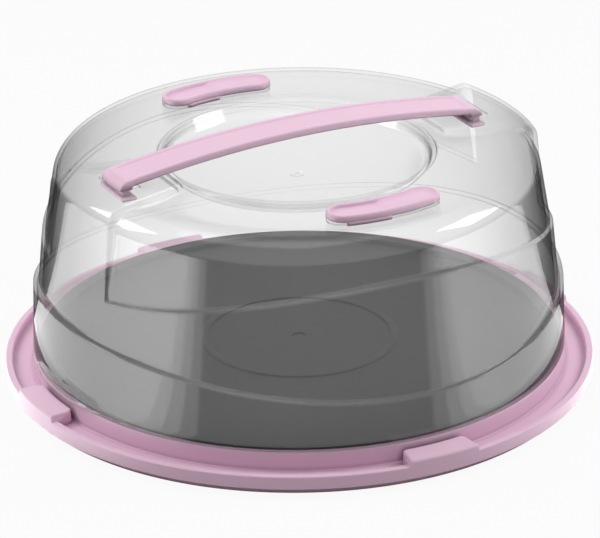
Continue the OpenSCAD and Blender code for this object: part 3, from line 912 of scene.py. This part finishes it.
def make_pad(name, mirror):
    """A pad: side, rim, hollow with a deep and a shallow half, and the two tongues."""
    low, top, half = BOSS_TOP, PAD_HIGH[2], PAD_W / 2

    def floor(plan):
        step = smooth(plan[:, 0] + 2, 5)
        return top - PAD_DEEP + (PAD_DEEP - PAD_SHALLOW) * step

    hole = half - PAD_RIM
    pad = kidney_stack(name, [
        (0, low + 1.4), (hole, low + 1.4), (hole, low), (half - 0.35, low), (half, low + 0.35),
        (half - 0.1, top - 1.3), (half - 0.35, top - 0.6), (half - 0.8, top - 0.15),
        (half - 1.3, top), (half - 1.9, top), (hole + 0.2, top - 0.2), (hole - 0.1, top - 0.6),
        (hole - 0.3, lambda plan: np.minimum(floor(plan) + 0.4, top - 0.6)),
        (hole - 0.8, floor), (2, floor), (0, floor)], mirror)
    tongues = []
    for r_in in (PAD_R - half, PAD_R + half - TONGUE_T):
        a = np.linspace(-PAD_ANGLE, -PAD_ANGLE * 0.05, 12)
        r = np.array([r_in, r_in, r_in + TONGUE_T, r_in + TONGUE_T])
        z = np.array([low + 0.5, PAD_LOW[2], PAD_LOW[2], low + 0.5])
        ring = np.stack([r * np.sin(a)[:, None], -mirror * r * np.cos(a)[:, None],
                         z + 0 * a[:, None]], -1)
        middle = ring.mean(axis=1, keepdims=True)
        ends = [np.repeat(middle[:1], 4, 1), ring, np.repeat(middle[-1:], 4, 1)]
        tongues.append(grid_mesh("tongue", np.concatenate(ends)))
    return join([pad, *tongues])


def make_boss(mirror):
    """The clear boss: from the ring's surface up to the pad, and the core inside the pad."""
    half, core, seam = PAD_W / 2 - 0.12, PAD_W / 2 - PAD_RIM - 0.2, BOSS_TOP - 0.02

    def on_ring(plan):
        return ring_height(np.hypot(plan[:, 0], plan[:, 1]))

    return kidney_stack("boss", [
        (0, on_ring), (half * 0.6, on_ring), (half, on_ring), (half, BOSS_TOP - 0.2),
        (half - 0.2, seam), (core, seam), (core, BOSS_TOP + CORE_H), (0, BOSS_TOP + CORE_H)],
        mirror)


dome = join([dome, make_boss(1), make_boss(-1)])
finish_piece(dome, "dome", clear, "clear_plastic", "dome")
for name, mirror in (("front_pad", 1), ("back_pad", -1)):
    finish_piece(make_pad(name, mirror), "dome", pink, "pink_plastic", name)

# %% [markdown]
# ## Carry strap
#
# The strap is one section carried along a flat arch: a border along each edge and a panel
# sunk between them. A flat bar bent by a modifier would do for the arch, but not for the
# ends: there the top rolls over and goes down into the slot. A neck with a wide foot hangs
# under each end inside the dome, which keeps the strap in place.

# %% Carry strap
FOOT_T, NECK_INSET = 2.0, 1.5


def make_strap():
    """The section at each place along the strap, then the two necks and feet. The top and
    the bottom are arcs of radius STRAP_ARCH and STRAP_ARCH - STRAP_T, and the rolled end is
    a quarter circle of radius CAP_ROUND. deep is how far the panel is sunk at that place."""
    half, width = STRAP_HALF, STRAP_W / 2
    centre = STRAP_HIGH[2] - STRAP_ARCH
    end_top = centre + math.sqrt(STRAP_ARCH**2 - half**2)
    low_end = end_top - STRAP_T - 0.6
    body = np.linspace(-half + CAP_LEN + 1.5, half - CAP_LEN - 1.5, 80)
    roll = np.array([0, 15, 30, 45, 60, 75, 90])
    turn = half - CAP_ROUND + CAP_ROUND * np.sin(np.radians(roll))
    right = np.concatenate([half - CAP_LEN + np.array([-1, -0.5, 0, 0.5, 1.0, 2.0, 3.2]), turn])
    x = np.concatenate([-right[::-1], body, right])
    top = centre + np.sqrt(STRAP_ARCH**2 - x * x)
    over = np.clip(np.abs(x) - (half - CAP_ROUND), 0, CAP_ROUND)
    rolled = end_top - CAP_ROUND + np.sqrt(CAP_ROUND**2 - over**2)
    top = np.where(np.abs(x) > half - CAP_ROUND, np.minimum(top, rolled), top)
    bottom = centre + np.sqrt((STRAP_ARCH - STRAP_T) ** 2 - x * x)
    bottom = np.where(np.abs(x) > half - CAP_LEN, low_end, bottom)
    bottom = np.minimum(bottom, top - 0.4)
    sink = BORDER_H * smooth(half - CAP_LEN - 0.5 - np.abs(x), 1.4)
    rows = []
    panel = width - BORDER_W
    for at, high, low, deep in zip(x, top, bottom, sink):
        y = np.array([width - 1.2, width - 0.35, width, width, width - 0.25, width - 0.9,
                      panel + 0.5, panel + 0.15, panel - 0.3, panel - 0.8])
        mid = low * 0.5 + high * 0.5
        z = np.array([low, min(low + 0.35, mid), min(low + 1.2, mid), max(high - 0.9, mid),
                      max(high - 0.25, mid), high, high, high - 0.15 * deep / BORDER_H,
                      high - deep, high - deep])
        y, z = np.concatenate([y, -y[::-1]]), np.concatenate([z, z[::-1]])
        rows.append(np.column_stack([np.full(len(y), at), y, z]))
    rows = np.array(rows)
    # The -X end closes on its middle. The +X end face, just over its seat, is left open.
    first = np.repeat(rows[:1].mean(axis=1, keepdims=True), rows.shape[1], 1)
    parts = [grid_mesh("carry_strap", np.concatenate([first, rows]))]
    foot_low, foot_high = STRAP_LOW[2], STRAP_LOW[2] + FOOT_T
    foot_half = (STRAP_HIGH[1] - STRAP_LOW[1]) / 2
    neck_x = half - NECK_INSET - STRAP_T / 2
    neck_z = (foot_high + low_end + 1) / 2
    neck_half = (STRAP_T / 2, width - 0.1, low_end + 1.2 - neck_z)
    for side in (-1, 1):
        parts.append(soft_block("neck", (side * neck_x, 0, neck_z), neck_half, 0.8))
        parts.append(soft_block("foot", (side * (neck_x - 0.5), 0, (foot_low + foot_high) / 2),
                                (STRAP_T / 2 + 2.4, foot_half, FOOT_T / 2), 0.9))
    strap = join(parts)
    strap.data.transform(Matrix.Translation((STRAP_X * MM, 0, 0)))
    return strap


strap = make_strap()
finish_piece(strap, "strap", pink, "pink_plastic", "carry_strap")
